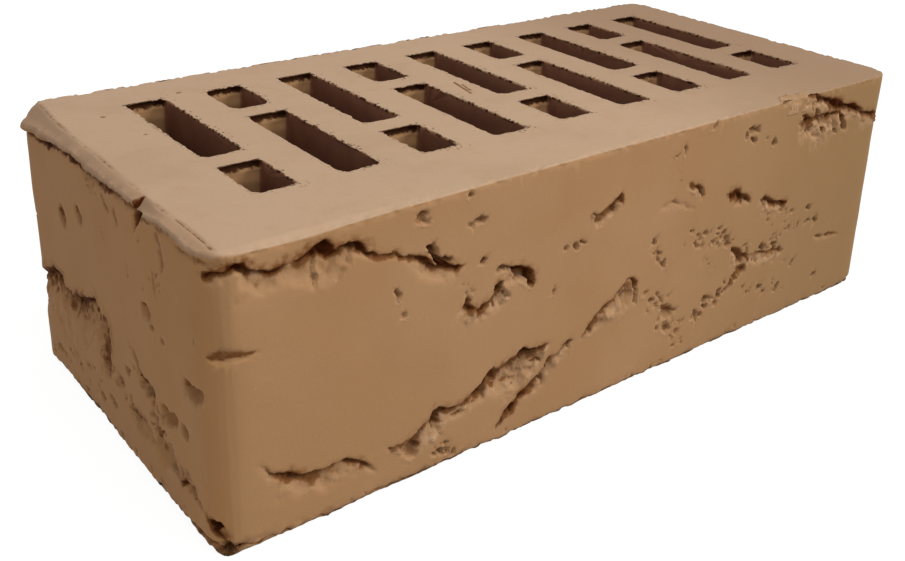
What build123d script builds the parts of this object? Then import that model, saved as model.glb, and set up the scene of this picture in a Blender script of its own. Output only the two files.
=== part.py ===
from build123d import *
import os

# Perforated clay facing brick, lying on its lower bed as it is laid in a wall.
# Length runs along X, depth along Y, height along Z; the origin is the centre of the lower bed.
# The torn stretcher looks toward -Y and the torn header toward -X; the other sides are plain.

# The brick as a block, in millimetres
brick_length = 250.0
brick_depth = 120.0
brick_height = 79.0
corner_radius = 6.0
arris_wear = 1.0

# Slots right through the height: nine columns along the length, each with one long and one short slot.
# In turn the long slot stands at the rear with the short one before it, then the other way about.
column_count = 9
slot_width = 11.6
slot_corner = 3.0
slot_bridge = 8.6
stretcher_wall = 25.0
rear_wall = 18.0
header_wall = 25.2
end_wall = 19.6
long_slot_share = 0.72

# Pressed lip along the upper edge of the torn header
lip_run = 3.2
lip_drop = 2.6

# Tears in the two faces. Each has a mouth on the face, a root close under its steep upper lip, and a bed.
# Mouths and roots are shares of the face: along it from its left end, seen from outside, and up it.
# The bed is the mouth drawn in toward the root, so its upper side is steep and its lower side slopes.
shallow_tear = 2.0
middle_tear = 3.0
deep_tear = 4.5
bed_share = 0.55

stretcher_tear_shares = [
    # hollow under the upper arris at the left end
    (middle_tear, (0.065, 0.910), [
        (0.015, 0.943), (0.043, 0.930), (0.063, 0.918), (0.085, 0.935), (0.105, 0.953),
        (0.126, 0.930), (0.136, 0.835), (0.083, 0.832), (0.041, 0.850), (0.013, 0.905),
    ]),
    # crack that falls away from that hollow
    (middle_tear, (0.186, 0.843), [
        (0.122, 0.928), (0.159, 0.903), (0.183, 0.857), (0.229, 0.806), (0.244, 0.764),
        (0.232, 0.741), (0.192, 0.797), (0.144, 0.861),
    ]),
    # tail of the crack, ending in a pit
    (middle_tear, (0.308, 0.710), [
        (0.242, 0.772), (0.268, 0.758), (0.294, 0.740), (0.322, 0.687), (0.365, 0.640),
        (0.367, 0.571), (0.338, 0.599), (0.304, 0.671), (0.264, 0.715),
    ]),
    # torn patch below the tail
    (shallow_tear, (0.314, 0.565), [
        (0.282, 0.624), (0.308, 0.580), (0.333, 0.592), (0.336, 0.462), (0.300, 0.475),
        (0.270, 0.530),
    ]),
    # wedge nick at the near corner
    (shallow_tear, (0.024, 0.664), [
        (0.005, 0.676), (0.045, 0.677), (0.023, 0.616),
    ]),
    # scar low down at the left
    (middle_tear, (0.096, 0.212), [
        (0.046, 0.290), (0.074, 0.235), (0.111, 0.210), (0.132, 0.204), (0.153, 0.161),
        (0.170, 0.106), (0.131, 0.081), (0.081, 0.148),
    ]),
    # the long diagonal rift: foot, middle, step and head
    (middle_tear, (0.226, 0.194), [
        (0.180, 0.191), (0.208, 0.177), (0.230, 0.214), (0.242, 0.249), (0.262, 0.228),
        (0.256, 0.159), (0.200, 0.099),
    ]),
    (deep_tear, (0.320, 0.270), [
        (0.256, 0.228), (0.278, 0.239), (0.295, 0.270), (0.311, 0.318), (0.346, 0.330),
        (0.370, 0.344), (0.390, 0.334), (0.390, 0.251), (0.320, 0.171), (0.264, 0.146),
    ]),
    (middle_tear, (0.400, 0.240), [
        (0.352, 0.156), (0.379, 0.214), (0.410, 0.286), (0.430, 0.316), (0.446, 0.259),
        (0.416, 0.184), (0.380, 0.133),
    ]),
    (deep_tear, (0.497, 0.400), [
        (0.445, 0.310), (0.462, 0.353), (0.480, 0.394), (0.509, 0.459), (0.527, 0.430),
        (0.536, 0.329), (0.487, 0.297), (0.455, 0.276),
    ]),
    # two upright pits right of the rift
    (shallow_tear, (0.567, 0.566), [
        (0.550, 0.589), (0.580, 0.576), (0.584, 0.456), (0.560, 0.441),
    ]),
    (shallow_tear, (0.577, 0.287), [
        (0.559, 0.314), (0.596, 0.304), (0.611, 0.127), (0.572, 0.139),
    ]),
    # hollows of the right half
    (shallow_tear, (0.601, 0.755), [
        (0.564, 0.727), (0.599, 0.790), (0.632, 0.743), (0.640, 0.654), (0.592, 0.658),
    ]),
    (middle_tear, (0.742, 0.605), [
        (0.678, 0.691), (0.724, 0.641), (0.753, 0.615), (0.798, 0.568), (0.808, 0.487),
        (0.748, 0.513), (0.696, 0.595),
    ]),
    (shallow_tear, (0.726, 0.345), [
        (0.702, 0.442), (0.734, 0.371), (0.806, 0.324), (0.802, 0.266), (0.734, 0.304),
        (0.698, 0.222), (0.666, 0.237), (0.682, 0.348),
    ]),
    (shallow_tear, (0.888, 0.400), [
        (0.853, 0.489), (0.884, 0.418), (0.936, 0.299), (0.908, 0.253), (0.872, 0.329),
    ]),
    # chip below the upper arris at the right end
    (middle_tear, (0.866, 0.882), [
        (0.807, 0.943), (0.853, 0.899), (0.890, 0.899), (0.916, 0.842), (0.914, 0.781),
        (0.850, 0.816),
    ]),
]

header_tear_shares = [
    # broad hollow low down at the far end
    (deep_tear, (0.388, 0.390), [
        (0.020, 0.384), (0.152, 0.424), (0.296, 0.443), (0.374, 0.487), (0.498, 0.485),
        (0.508, 0.425), (0.474, 0.275), (0.409, 0.189), (0.200, 0.051), (0.020, 0.076),
    ]),
    # chain of gouges running down to the near corner
    (middle_tear, (0.512, 0.277), [
        (0.420, 0.242), (0.508, 0.319), (0.570, 0.277), (0.542, 0.190), (0.463, 0.165),
    ]),
    (middle_tear, (0.665, 0.400), [
        (0.628, 0.449), (0.692, 0.430), (0.720, 0.362), (0.683, 0.259), (0.608, 0.272),
        (0.583, 0.361),
    ]),
    (middle_tear, (0.682, 0.216), [
        (0.627, 0.228), (0.688, 0.253), (0.722, 0.215), (0.696, 0.118), (0.638, 0.118),
    ]),
    (middle_tear, (0.778, 0.208), [
        (0.717, 0.241), (0.779, 0.238), (0.840, 0.186), (0.829, 0.105), (0.763, 0.095),
    ]),
    (shallow_tear, (0.898, 0.147), [
        (0.846, 0.165), (0.915, 0.171), (0.941, 0.127), (0.913, 0.070), (0.863, 0.080),
    ]),
    # oval dent beside the near corner
    (shallow_tear, (0.922, 0.548), [
        (0.864, 0.485), (0.869, 0.544), (0.928, 0.580), (0.975, 0.570), (0.975, 0.519),
        (0.917, 0.484),
    ]),
    # two small upright pits
    (shallow_tear, (0.246, 0.706), [
        (0.221, 0.722), (0.250, 0.728), (0.271, 0.646), (0.246, 0.633),
    ]),
    (shallow_tear, (0.354, 0.765), [
        (0.338, 0.785), (0.363, 0.785), (0.375, 0.709), (0.350, 0.709),
    ]),
]

# Sizes that follow from those above
slot_pitch = (brick_length - header_wall - end_wall - slot_width) / (column_count - 1)
slot_run = brick_depth - stretcher_wall - rear_wall - slot_bridge
long_slot = long_slot_share * slot_run
short_slot = slot_run - long_slot
first_column = header_wall + slot_width / 2 - brick_length / 2
front_end = stretcher_wall - brick_depth / 2
rear_end = brick_depth / 2 - rear_wall

# Sketch planes on the two torn faces: along the face from its left end, then up, looking out of the brick
stretcher_plane = Plane(origin=(-brick_length / 2, -brick_depth / 2, 0), x_dir=(1, 0, 0), z_dir=(0, -1, 0))
header_plane = Plane(origin=(-brick_length / 2, brick_depth / 2, 0), x_dir=(0, -1, 0), z_dir=(-1, 0, 0))


def on_face(shares, face_run):
    """Points of a face from shares of its run and of the brick's height."""
    return [(along * face_run, up * brick_height) for along, up in shares]


def drawn_in(points, root):
    """The same outline drawn in toward its root."""
    return [(root[0] + bed_share * (x - root[0]), root[1] + bed_share * (z - root[1])) for x, z in points]


os.makedirs("parts", exist_ok=True)

with BuildPart() as brick:
    # extruded column with its slots, cut to the brick's height
    with BuildSketch(Plane.XY):
        RectangleRounded(brick_length, brick_depth, corner_radius)
        for column in range(column_count):
            centre_x = first_column + column * slot_pitch
            front_slot = long_slot if column % 2 else short_slot
            rear_slot = short_slot if column % 2 else long_slot
            with Locations((centre_x, front_end + front_slot / 2)):
                RectangleRounded(slot_width, front_slot, slot_corner, mode=Mode.SUBTRACT)
            with Locations((centre_x, rear_end - rear_slot / 2)):
                RectangleRounded(slot_width, rear_slot, slot_corner, mode=Mode.SUBTRACT)
    extrude(amount=brick_height)

    # worn arrises round both beds
    upper_rim = brick.faces().sort_by(Axis.Z)[-1].outer_wire().edges()
    lower_rim = brick.faces().sort_by(Axis.Z)[0].outer_wire().edges()
    chamfer(upper_rim + lower_rim, length=arris_wear)

    # lip pressed down along the header's upper edge
    with BuildSketch(Plane.XZ):
        with BuildLine():
            Polyline(
                (-brick_length / 2, brick_height),
                (-brick_length / 2, brick_height - lip_drop),
                (-brick_length / 2 + lip_run, brick_height),
                close=True,
            )
        make_face()
    extrude(amount=brick_depth / 2, both=True, mode=Mode.SUBTRACT)

    # tears of the two textured faces
    for plane, face_run, tears in (
        (stretcher_plane, brick_length, stretcher_tear_shares),
        (header_plane, brick_depth, header_tear_shares),
    ):
        for depth, root_share, mouth_shares in tears:
            mouth = on_face(mouth_shares, face_run)
            root = on_face([root_share], face_run)[0]
            with BuildSketch(plane):
                with BuildLine():
                    Polyline(*mouth, close=True)
                make_face()
            with BuildSketch(plane.offset(-depth)):
                with BuildLine():
                    Polyline(*drawn_in(mouth, root), close=True)
                make_face()
            loft(ruled=True, mode=Mode.SUBTRACT)

brick.part.label = "brick"
export_step(brick.part, "parts/brick.step")
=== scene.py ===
import math

import bmesh
import bpy
import numpy as np
from mathutils import Matrix, Vector


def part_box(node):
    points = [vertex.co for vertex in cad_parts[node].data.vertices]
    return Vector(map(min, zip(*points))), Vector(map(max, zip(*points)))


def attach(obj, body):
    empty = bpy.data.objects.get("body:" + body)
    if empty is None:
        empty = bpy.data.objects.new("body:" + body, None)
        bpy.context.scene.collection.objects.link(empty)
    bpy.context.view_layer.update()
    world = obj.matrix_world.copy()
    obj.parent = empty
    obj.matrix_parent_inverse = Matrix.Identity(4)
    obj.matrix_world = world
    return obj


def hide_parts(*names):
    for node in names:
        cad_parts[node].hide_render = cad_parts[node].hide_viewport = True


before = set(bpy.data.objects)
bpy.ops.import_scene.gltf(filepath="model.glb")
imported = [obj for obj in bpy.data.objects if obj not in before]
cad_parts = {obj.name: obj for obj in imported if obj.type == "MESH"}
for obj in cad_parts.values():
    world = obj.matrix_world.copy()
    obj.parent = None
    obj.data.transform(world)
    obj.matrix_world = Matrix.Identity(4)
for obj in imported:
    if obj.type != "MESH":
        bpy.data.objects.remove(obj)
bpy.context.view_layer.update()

bl_info = {
    "name": "Perforated clay facing brick",
    "version": (1, 0, 0),
    "blender": (4, 5, 0),
    "location": "View3D > Sidebar > Brick",
    "description": "Models a torn, slotted facing brick of fired clay and a plain studio round it",
    "category": "Object",
}

# The box of the solid model, straight after loading
SOLID_LOW, SOLID_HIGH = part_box("brick")
MM = 0.001


# Sizes, colours and light that a user may change

def from_screen(value):
    """Linear light from a usual 0 to 255 screen value."""
    value /= 255
    return value / 12.92 if value <= 0.04045 else ((value + 0.055) / 1.055) ** 2.4


def a_length(name, description, size):
    """A length in metres."""
    return bpy.props.FloatProperty(name=name, description=description, unit="LENGTH", default=size)


def a_colour(name, description, red, green, blue):
    """A colour whose default is given in screen values."""
    return bpy.props.FloatVectorProperty(
        name=name, description=description, subtype="COLOR",
        default=(from_screen(red), from_screen(green), from_screen(blue)))


class BrickSizes(bpy.types.PropertyGroup):
    """Sizes of the brick"""
    length: a_length("Length", "Length of the stretcher", SOLID_HIGH[0] - SOLID_LOW[0])
    depth: a_length("Depth", "Length of the header", SOLID_HIGH[1] - SOLID_LOW[1])
    height: a_length("Height", "Height from bed to bed", SOLID_HIGH[2] - SOLID_LOW[2])
    corner_radius: a_length("Corner radius", "Radius of the upright corners", 7.5 * MM)
    arris_wear: a_length("Arris wear", "Width of the worn edge round both beds", 0.3 * MM)
    columns: bpy.props.IntProperty(name="Columns", description="Columns of slots along the length", default=9)
    slot_width: a_length("Slot width", "Width of every slot", 11.6 * MM)
    slot_corner: a_length("Slot corner", "Radius in the slots' corners", 2.2 * MM)
    slot_bridge: a_length("Slot bridge", "Clay between the two slots of a column", 8.6 * MM)
    stretcher_wall: a_length("Stretcher wall", "Clay before the slots", 25 * MM)
    rear_wall: a_length("Rear wall", "Clay behind the slots", 18 * MM)
    header_wall: a_length("Header wall", "Clay at the torn header", 25.2 * MM)
    end_wall: a_length("End wall", "Clay at the plain end", 19.6 * MM)
    long_share: bpy.props.FloatProperty(
        name="Long share", description="Part of a column's slots that the long one takes", subtype="FACTOR",
        default=0.72)
    grain_size: a_length("Grain size", "Width of the cells that the relief is worked in", 0.5 * MM)
    triangles: bpy.props.IntProperty(
        name="Triangles", description="Triangles left on the finished brick", default=192000)


class BrickColours(bpy.types.PropertyGroup):
    """Colours of the fired clay"""
    skin: a_colour("Skin", "Smooth fired skin", 174, 134, 96)
    warm: a_colour("Warm cloud", "Yellower clouds in the skin", 170, 129, 90)
    # partly painted sheen: the beds' paler colour also stands in for the upper bed's sheen
    bed: a_colour("Cut bed", "Paler wire-cut clay of the two beds", 188, 157, 128)
    torn: a_colour("Torn clay", "Rough floor of the tears", 180, 141, 104)
    crumb: a_colour("Crumbs", "Pale crumbs on torn clay", 206, 175, 144)
    # painted shade: the dark colour in the cracks and deep in the slots, which also gives the skin a faint
    # dark grain
    crevice_shade_and_grain: a_colour("Crevice", "Dark clay in the cracks", 72, 31, 6)
    # painted shade too: this dark colour paints the shade under the rear mouths' burr and along the lower
    # edge, as well as the dark crumbs round the rims
    crumbs_and_shade: a_colour("Crust", "Scorched crumbs on the slots' rims and the lower edge", 50, 20, 7)
    shade: a_colour("Shaded clay", "Brown clay beside the cracks", 114, 68, 30)
    pressed: a_colour("Pressed lip", "Smeared clay of the header's lip", 174, 141, 112)
    # painted highlights: glints on the torn clay
    painted_glint: a_colour("Glints", "Palest grains in torn clay", 228, 212, 192)
    # painted shade: duller, darker skin toward the plain end, where the light falls off
    olive_end_shade: a_colour("Olive cloud", "Duller skin toward the plain end", 148, 115, 77)
    # painted shade on the beds toward the plain end; the same colour also gives the beds random clouds
    bed_end_shade_and_clouds: a_colour("Far bed", "Duller clay of the beds toward the plain end", 162, 131, 103)
    ruddy: a_colour("Ruddy header", "Redder skin of the header", 182, 135, 90)
    # painted light: a shaded copy of the slot clay for the long walls and a lit one for the end walls
    shaded_slot_side: a_colour("Slot side", "Clay on the slots' long walls", 126, 84, 66)
    lit_slot_end: a_colour("Slot end", "Clay on the slots' end walls", 162, 124, 86)


class BrickStudio(bpy.types.PropertyGroup):
    """Camera and light"""
    lens: bpy.props.FloatProperty(
        name="Lens", description="Focal length", subtype="DISTANCE_CAMERA", default=42.6)
    key: bpy.props.FloatProperty(
        name="Key light", description="Power of the lamp above the brick", unit="POWER", default=1.28)
    fill: bpy.props.FloatProperty(
        name="Fill light", description="Power of the far lamp at the stretcher", unit="POWER", default=44)
    sky: bpy.props.FloatProperty(
        name="Sky", description="Strength of the light from all round", default=0.43)


# The studio, in metres
FLOOR_SIZE = 8
FLOOR_DROP = 0.2 * MM
LAMP_AIM = (0, 0, 0.04)
KEY_PLACE, KEY_SIZE = (-0.03, -0.24, 0.62), 0.3
FILL_PLACE, FILL_SIZE = (1.953, -1.758, 1.486), 0.85
PAPER_GREY, SHADOW_GREY, PAPER_GLOW = 0.6, 0.16, 0.93

# The camera, fitted to the brick's edges: its place, its right hand, its line of sight and its frame's shift
CAMERA_PLACE = (-0.20351, -0.2447, 0.17729)
CAMERA_RIGHT = (0.78259, -0.62165, 0.03307)
CAMERA_AHEAD = (0.575, 0.70146, -0.42111)
CAMERA_SHIFT = (-0.0304, -0.0536)
SENSOR_WIDTH = 36

CORNER_SEGMENTS, ARRIS_SEGMENTS, SLOT_SEGMENTS = 6, 2, 4
CUTTER_PAST = 10 * MM
FEWEST_FACES = 1000

# What the sculpting leaves at each point of the mesh for the clay's colours. The second layer is painted
# shade in cracks, pits, creases and under lips, with a few darker marks; torn also holds a painted highlight
# on the pits' lower rims.
LAYERS = ("torn", "shade_and_marks", "bed", "pressed")

# Numbers that start each noise
STRETCHER_SEED, HEADER_SEED = 100, 500
CREASE_SEED, TILT_SEED, SEAM_SEED, HANG_SEED = 901, 906, 951, 921
FLAP_SEED, POCKET_SEED, TAIL_SEED = 931, 941, 961
MOUTH_SEED, PATCH_SEED = 1001, 1011
NIBBLE_SEED, CHIP_SEED, FRINGE_SEED, CRUMB_SEED, WAVE_SEED = 1101, 1111, 1121, 1141, 1201
RUB_SEED, RUB_GRAIN_SEED = 1301, 1311

# From here on, relief is worked in millimetres

# The pressed lip along the header, from its far end: places along it, and what it measures there
LIP_REACH = 9
LIP_CREASE = ((0, 8, 18, 32), (5.8, 5.2, 4.2, 3.7))
LIP_TILT = (
    (0, 10, 23, 36, 42, 49, 60, 72, 96, 120),
    (0.72, 0.68, 0.62, 0.5, 0.34, 0.5, 0.36, 0.28, 0.2, 0.15),
)
LIP_SEAM = ((1, 5, 76, 84, 88, 116, 119), (0, 1, 0.7, 0, 0.9, 1, 0))
LIP_HANG = ((0, 14, 30, 44), (1.8, 1.0, 0.5, 0.1))
LIP_SHADE = ((0, 16, 30, 44, 60, 82, 100, 114), (1.1, 1.1, 0.8, 1.1, 0.8, 0.4, 0.25, 0))
SEAM_WIDTH, SEAM_DEPTH, SEAM_SHADE = 0.4, 0.45, 0.42
FLAP_END, FLAP_DROP, FLAP_TAIL = 81.3, 1.9, 14
POCKET_FALL, POCKET_DEPTH = 9, 2.2

# The upper arris's sag along the stretcher, from the near corner
ARRIS_SAG = ((0, 8, 16, 26, 34, 55, 80), (0.3, 0.5, 0.8, 1.0, 0.6, 0.2, 0))

# Pale crumbs on the upper arris: where along the stretcher, and how far to each side
CRUMBS_ALONG, CRUMBS_SPREAD = 197.0, 6.0

# The slots' mouths: how deep they are worked, and the row of points that the thinning leaves under them
MOUTH_DEPTH, MOUTH_WIDTH = 6, 4.0
ROW_FROM, ROW_TO = 6.2, 7.4

# How far the foot spreads at the plain end and at the header
END_SPREAD, HEADER_SPREAD = 3.2, 1.3

# The stretcher and the header are both seen from outside: along the face from its left end, then up.
# A lip is how dark the painted shade at its crack is, how rough its floor, and a line of (along, up, depth,
# reach):
# clay is torn away on its right hand, steep at the line, to the depth there, and the floor ends at the reach.
FACE_SKIN = 6.5
TEAR_DEPTH, PIT_DEPTH = 1.2, 1.35
LIP_SLOPE, HOLLOW_SLOPE = 0.25, 1.2
HEADER_WAVE = 0.3

STRETCHER_LIPS = (
    # crack under the upper arris at the left, with the hollow below it
    (1.15, 0.35, [
        (-3, 73.8, 0.3, 2), (1.5, 74.6, 1.3, 3), (4.8, 74.9, 2.0, 4.5), (5.8, 76.2, 3.4, 6),
        (7.4, 76.9, 3.8, 7), (9.4, 76.9, 4.0, 8), (10.6, 75.2, 3.8, 8), (11.4, 73.4, 3.2, 7),
        (14.4, 72.8, 2.8, 7.5), (17.7, 73.2, 2.8, 9), (21.2, 74.1, 3.0, 11), (24.6, 75.1, 3.0, 12.5),
        (25.6, 76.8, 3.4, 13), (28.8, 76.8, 3.4, 12), (30.2, 75.2, 2.6, 10), (31.6, 73.5, 2.2, 8),
        (33.2, 73.7, 2.4, 7.5), (34.4, 74.8, 3.0, 7.5), (37.8, 74.5, 3.0, 7), (39.4, 72.6, 2.4, 5),
        (40.2, 69.8, 1.5, 2.5), (43.8, 68.3, 1.3, 1.6), (47.1, 67.8, 1.3, 1.5), (51.6, 66.8, 1.5, 2),
        (54.5, 65.0, 1.9, 4), (57.1, 64.2, 2.4, 5.5), (60.8, 60.8, 2.6, 6.5), (63.2, 60.1, 2.2, 5),
        (66.9, 59.9, 1.5, 3), (69.7, 59.1, 0, 1.5),
    ]),
    # pit at the end of that crack and the torn patch under it
    (0.9, 0.7, [
        (82, 54.6, 0, 3), (83.9, 54.2, 2.8, 6), (88, 53.3, 3.4, 7.5), (92, 50.4, 3.2, 6),
        (92.3, 45.8, 1.5, 4), (90.7, 44.5, 0, 2),
    ]),
    (0.8, 1.0, [
        (69.6, 50.2, 0, 1), (70.8, 46.9, 1.8, 3.5), (73.1, 45.6, 2.2, 6), (75.7, 46.2, 2.4, 6.5),
        (78.3, 46.9, 2.4, 6), (79.8, 49.9, 2.8, 5.5), (81.1, 50.7, 2.2, 4.5), (83.2, 50.2, 0, 2),
    ]),
    # scar low down at the left
    (0.8, 0.5, [
        (10.5, 23.8, 0, 1.5), (13, 22, 1.2, 3), (15.3, 20.4, 2.0, 5), (19, 18.2, 2.2, 5.5),
        (22.6, 16.5, 2.6, 6), (25.9, 16.5, 2.6, 6), (29.5, 16.4, 2.6, 6), (33.2, 15.9, 2.4, 6),
        (37.8, 13.3, 2.0, 4.5), (40.1, 11, 1.4, 3), (43, 7.9, 0, 1.5),
    ]),
    (0.6, 0.4, [
        (22, 15.9, 0, 1), (23.6, 15.2, 1.2, 3), (28.6, 14.6, 1.4, 3.5), (32.5, 12.6, 0.9, 2.5),
        (35, 10.8, 0, 1),
    ]),
    # the long rift: foot and middle
    (0.75, 1.0, [
        (44.6, 14.9, 0, 1.5), (47.3, 13.1, 1.6, 3), (50.1, 13.1, 2.2, 6), (54.1, 14.8, 2.6, 9.5),
        (57.6, 16.8, 3.0, 11), (59.4, 19.2, 3.0, 10), (61.3, 19.6, 3.0, 9), (63.9, 18.6, 2.6, 7.5),
        (66.9, 18.4, 2.8, 6.5), (70.5, 18.8, 3.2, 7.5), (73.1, 20.6, 3.6, 9.5), (75.1, 22.4, 4.0, 10.5),
        (77.0, 24.5, 4.2, 12), (78.7, 25.1, 4.0, 12), (79.8, 24.4, 3.6, 11.5), (82.8, 25.1, 3.8, 12),
        (85.9, 25.9, 4.0, 12.5), (86.9, 27.4, 4.2, 13.5), (90.5, 27.1, 3.6, 11.5), (93.7, 26.9, 3.0, 9),
        (97, 26.4, 2.0, 6), (100, 25.8, 0, 3),
    ]),
    # the rift's step and head
    (0.85, 0.9, [
        (79.8, 4.2, 0, 1.5), (82.4, 7.4, 1.6, 3.5), (84.9, 10.5, 2.2, 5), (88.3, 13.7, 2.6, 5.5),
        (92.7, 15.7, 2.8, 5.5), (97.5, 19.6, 2.8, 5.5), (100.6, 21.7, 2.8, 5), (104.6, 24, 2.6, 5),
        (107.2, 24.9, 2.2, 4.5), (109, 23.3, 0, 2),
    ]),
    (0.6, 0.9, [
        (110.4, 23, 0, 1.5), (111.2, 24.5, 1.4, 3.5), (114, 27.5, 2.2, 6), (116.9, 29.6, 2.4, 7),
        (120.3, 31.7, 2.4, 8.5), (124, 34, 2.2, 10), (125.6, 36, 2.0, 11.5), (127.6, 37, 1.8, 12),
        (130.4, 36.9, 1.6, 9), (132.8, 35, 1.6, 4), (133.6, 32.4, 1.5, 3), (133, 29.4, 1.2, 2.5),
        (133.8, 27, 0, 1.5),
    ]),
    # leaf above the rift
    (0.55, 0.9, [
        (110.2, 59.4, 0, 1.5), (111.2, 61.4, 1.6, 4.5), (112.6, 62, 2.2, 5), (114.6, 60.8, 2.2, 4.5),
        (117.1, 62, 1.8, 4), (119.4, 62.6, 1.8, 4), (120.7, 64, 2.0, 4.5), (121.9, 65.2, 2.2, 5),
        (123.3, 63.8, 1.8, 3.5), (123.4, 61, 0, 1.5),
    ]),
    # hook and shallow hollow right of the middle
    (0.6, 0.6, [
        (149.6, 62.6, 0, 1.5), (152.3, 61.4, 1.4, 4), (155.4, 60.1, 1.8, 5), (158.4, 58.1, 2.2, 5.5),
        (159.3, 56.4, 2.0, 5), (158, 53.8, 0, 2),
    ]),
    (0.3, 0.4, [
        (139, 56.6, 0, 1.5), (140.5, 57.1, 0.6, 3), (145.5, 57.5, 0.9, 4), (151.5, 55.1, 0.9, 3.5),
        (156, 53.2, 0, 2),
    ]),
    # dark cracks of the right half
    (0.8, 0.8, [
        (168.6, 54.8, 0, 1), (170.1, 54.8, 1.6, 2.2), (173.7, 54.5, 2.4, 3.5), (176.8, 52.6, 2.4, 3.5),
        (180.3, 51.6, 2.6, 4.5), (181.6, 49.7, 2.2, 3), (181.4, 47.8, 0, 1.5),
    ]),
    (0.8, 0.9, [
        (185.4, 47, 0, 1), (186.8, 48, 1.4, 3), (188.7, 48.7, 2.4, 5.5), (190.2, 47.8, 2.6, 6),
        (193.1, 46.2, 2.6, 6.5), (196.8, 45, 2.4, 6.5), (200.3, 44.8, 2.2, 6), (201.8, 42.3, 0, 3),
    ]),
    (0.5, 0.4, [
        (219.6, 26.6, 0, 1), (221.1, 26.3, 1.4, 2.2), (225.8, 25.8, 1.6, 2.6), (229.9, 25.5, 1.5, 2.4),
        (235, 23.2, 0, 1.2),
    ]),
    # dark knot with its tail and the band that falls to the left of it
    (0.45, 0.9, [
        (174.6, 34.6, 0, 1.5), (175.8, 34.8, 2.0, 5), (177.9, 34.6, 2.6, 6), (180.3, 33.4, 2.4, 6),
        (181.4, 31.1, 2.6, 6), (183.3, 30.3, 2.6, 6), (186.9, 29, 2.4, 5.5), (190.4, 28.7, 2.0, 4.5),
        (194, 27.7, 1.8, 4), (195.7, 27.8, 1.6, 4), (201.2, 26.9, 1.2, 3), (203.5, 25.8, 0, 1.5),
    ]),
    (0.55, 0.8, [
        (171.5, 17.6, 0, 1.5), (173.3, 19.3, 1.4, 3), (176.3, 21.6, 1.6, 3.5), (179.3, 24, 1.8, 3.5),
        (182.9, 25.8, 1.6, 3), (184.6, 27, 0, 1.5),
    ]),
    # chips under the upper arris at the right
    (0.85, 1.0, [
        (201.5, 79.8, 0, 1.5), (204.5, 79, 1.4, 5), (209.5, 78.4, 1.8, 6), (216.3, 76.5, 2.2, 7),
        (222.5, 74.1, 2.4, 7), (230.3, 72, 2.2, 7), (236, 69.4, 2.0, 6.5), (242, 66.9, 1.6, 6),
        (251, 63, 0.4, 3),
    ]),
    (0.8, 1.0, [
        (200.4, 74.2, 0, 1), (201.9, 73.5, 1.6, 5), (205.5, 71.8, 2.2, 7.5), (210.9, 71.2, 2.4, 8.5),
        (215.7, 71.3, 2.4, 8.5), (221.2, 70.9, 2.0, 8), (225.5, 69.6, 0, 4),
    ]),
)

HEADER_HOLLOW = [
    (-4, 27.5, 0.6, 10), (4.5, 29.4, 1.3, 14), (11.3, 33.2, 2.2, 18), (18.1, 35.4, 2.4, 20),
    (24.9, 36, 2.4, 20), (27, 33.1, 2.4, 20), (34.6, 34.5, 2.6, 20), (41.3, 36.6, 2.6, 20),
    (49.9, 40.4, 2.8, 22), (52.9, 38.7, 2.8, 22), (58.2, 37.9, 2.8, 20), (60.1, 35.2, 2.6, 18),
    (60.6, 32.2, 2.4, 15), (58.9, 26.5, 2.0, 10), (58, 20.8, 1.4, 6), (56, 15, 0, 3),
]

HEADER_LIPS = (
    # broad hollow low down at the far end
    (0.9, 0.3, HEADER_HOLLOW),
    # chain of gouges running down to the near corner
    (1.1, 0.1, [
        (76.6, 31.8, 0, 1.5), (78.4, 30.9, 1.4, 3.5), (82.5, 30, 1.8, 4.5), (86.4, 28.6, 1.4, 3),
        (88.6, 27.4, 0, 1),
    ]),
    (1.3, 0.15, [
        (69.8, 18.4, 0, 1.5), (71.2, 17.8, 1.8, 3.5), (76.1, 17.8, 2.2, 5), (80.6, 17, 2.2, 5),
        (84.2, 16, 1.6, 3.5), (85.6, 14.5, 0, 2),
    ]),
    (1.3, 0.2, [
        (85.8, 20, 0, 1.5), (87.3, 19.7, 2.2, 5), (90.7, 18.4, 3.0, 7.5), (95, 18, 3.2, 8),
        (98.9, 16.2, 2.8, 6), (99.6, 14, 1.6, 3.5), (99.4, 12, 0, 1.5),
    ]),
    (1.3, 0.15, [
        (98.6, 12.6, 0, 1), (99.7, 12.9, 1.4, 3), (105.1, 15.4, 2.4, 5), (107.6, 14.6, 2.4, 4.5),
        (108.5, 12.2, 1.4, 3), (108.4, 10, 0, 1),
    ]),
    (1.3, 0.15, [
        (111.8, 11.4, 0, 1), (113.3, 10.6, 1.6, 3), (115.2, 9.4, 2.2, 3.5), (117.2, 7.2, 2.0, 3),
        (118.8, 4.6, 1.2, 2),
    ]),
    # ragged underside of the pressed lip
    (1.0, 0.3, [
        (-4, 76.8, 0.9, 2.5), (10, 76.4, 1.5, 3), (15.7, 75.8, 1.5, 3), (21, 76.8, 1.3, 3),
        (25.4, 77.4, 1.1, 3), (33, 78, 1.0, 2.5), (43, 78, 1.1, 3), (47.6, 77.4, 1.2, 3.5),
        (53.6, 77.2, 1.2, 3.5), (60.4, 77.4, 1.0, 2.5), (70, 77.8, 0.8, 2), (80, 78, 0.7, 2),
    ]),
    (0.8, 0.2, [
        (96, 77.8, 0.5, 1.5), (105, 77.8, 0.7, 2), (114, 77.6, 0.7, 2), (119, 77, 0.4, 1.5),
    ]),
)

# Grooves: a line of (along, up, depth), and how far the gentle slope above it and the steep one below it run
STRETCHER_GROOVES = (
    # nick at the near corner
    ([(0.6, 53.4, 0.8), (3, 53.2, 1.6), (7, 53.3, 1.1), (12.6, 53.8, 0)], 3.8, 1.0),
)

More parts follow.
